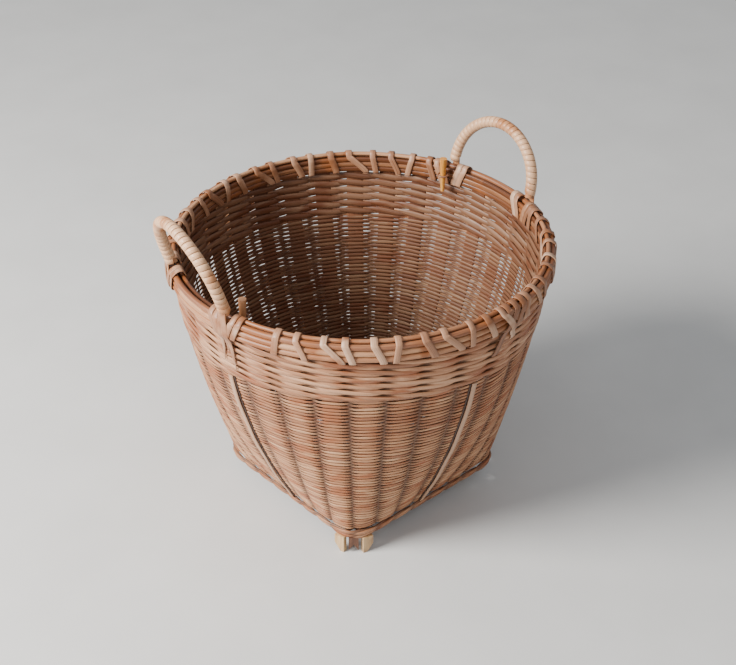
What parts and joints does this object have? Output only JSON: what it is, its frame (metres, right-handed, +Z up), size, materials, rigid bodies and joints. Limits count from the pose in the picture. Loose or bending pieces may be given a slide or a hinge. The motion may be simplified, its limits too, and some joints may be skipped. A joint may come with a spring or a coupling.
{
  "type": "woven wicker basket",
  "caption": "Open woven basket with a square footed base that flares to a round laced rim, with a bent, wrapped cane handle on each side.",
  "frame": {"origin": "on the floor under the basket's vertical axis, at the level of the tips of its four corner feet", "axes": "+Z up; X and Y along the sides of the square foot; the two handles stand near -X and +X"},
  "size_m": [0.4049, 0.383, 0.3638],
  "materials": {
    "bamboo_stake": "flat split bamboo, reddish brown, dry and fibrous",
    "fine_cane": "fine split cane weavers, tan to pinkish brown, matt",
    "wale_cane": "flat split cane strands, pinkish tan, matt with a slight sheen",
    "rim_cane": "flat cane strands, pinkish tan",
    "inner_hoop": "bamboo hoop, orange brown",
    "lashing_strip": "pale peeled cane strip, slight sheen",
    "rib_strip": "flat cane strip, tan",
    "handle_core": "round cane, hidden under its wrap",
    "handle_wrap": "pale peeled cane wrap, slight sheen",
    "peg_bamboo": "glossy amber bamboo skin",
    "foot_bamboo": "pale yellow split bamboo"
  },
  "bodies": {
    "root": {"stake_along_x_1": "bamboo_stake", "stake_along_y_1": "bamboo_stake", "stake_along_x_2": "bamboo_stake", "stake_along_y_2": "bamboo_stake", "stake_along_x_3": "bamboo_stake", "stake_along_y_3": "bamboo_stake", "stake_along_x_4": "bamboo_stake", "stake_along_y_4": "bamboo_stake", "stake_along_x_5": "bamboo_stake", "stake_along_y_5": "bamboo_stake", "stake_along_x_6": "bamboo_stake", "stake_along_y_6": "bamboo_stake", "stake_along_x_7": "bamboo_stake", "stake_along_y_7": "bamboo_stake", "stake_along_x_8": "bamboo_stake", "stake_along_y_8": "bamboo_stake", "fine_weave": "fine_cane", "wale_row_1": "wale_cane", "wale_row_2": "wale_cane", "wale_row_3": "wale_cane", "wale_row_4": "wale_cane", "wale_row_5": "wale_cane", "wale_row_6": "wale_cane", "base_wale_row_1": "wale_cane", "base_wale_row_2": "wale_cane", "rim_outer_cane_bottom": "rim_cane", "rim_outer_cane_middle": "rim_cane", "rim_outer_cane_top": "rim_cane", "rim_inner_hoop": "inner_hoop", "rim_top_cane_back": "rim_cane", "rim_top_cane_front": "rim_cane", "rim_lashing": "lashing_strip", "handle_lashing_right": "lashing_strip", "handle_lashing_left": "lashing_strip", "rib_front_left": "rib_strip", "rib_front_right": "rib_strip", "rib_back_right": "rib_strip", "rib_back_left": "rib_strip", "handle_core_right": "handle_core", "handle_wrap_right": "handle_wrap", "handle_peg_right": "peg_bamboo", "peg_loop_right": "lashing_strip", "handle_core_left": "handle_core", "handle_wrap_left": "handle_wrap", "handle_peg_left": "peg_bamboo", "peg_loop_left": "lashing_strip", "foot_peg_back_right_1": "foot_bamboo", "foot_peg_back_right_2": "foot_bamboo", "foot_gusset_back_right": "fine_cane", "foot_peg_back_left_1": "foot_bamboo", "foot_peg_back_left_2": "foot_bamboo", "foot_gusset_back_left": "fine_cane", "foot_peg_front_left_1": "foot_bamboo", "foot_peg_front_left_2": "foot_bamboo", "foot_gusset_front_left": "fine_cane", "foot_peg_front_right_1": "foot_bamboo", "foot_peg_front_right_2": "foot_bamboo", "foot_gusset_front_right": "fine_cane"}
  },
  "joints": []
}
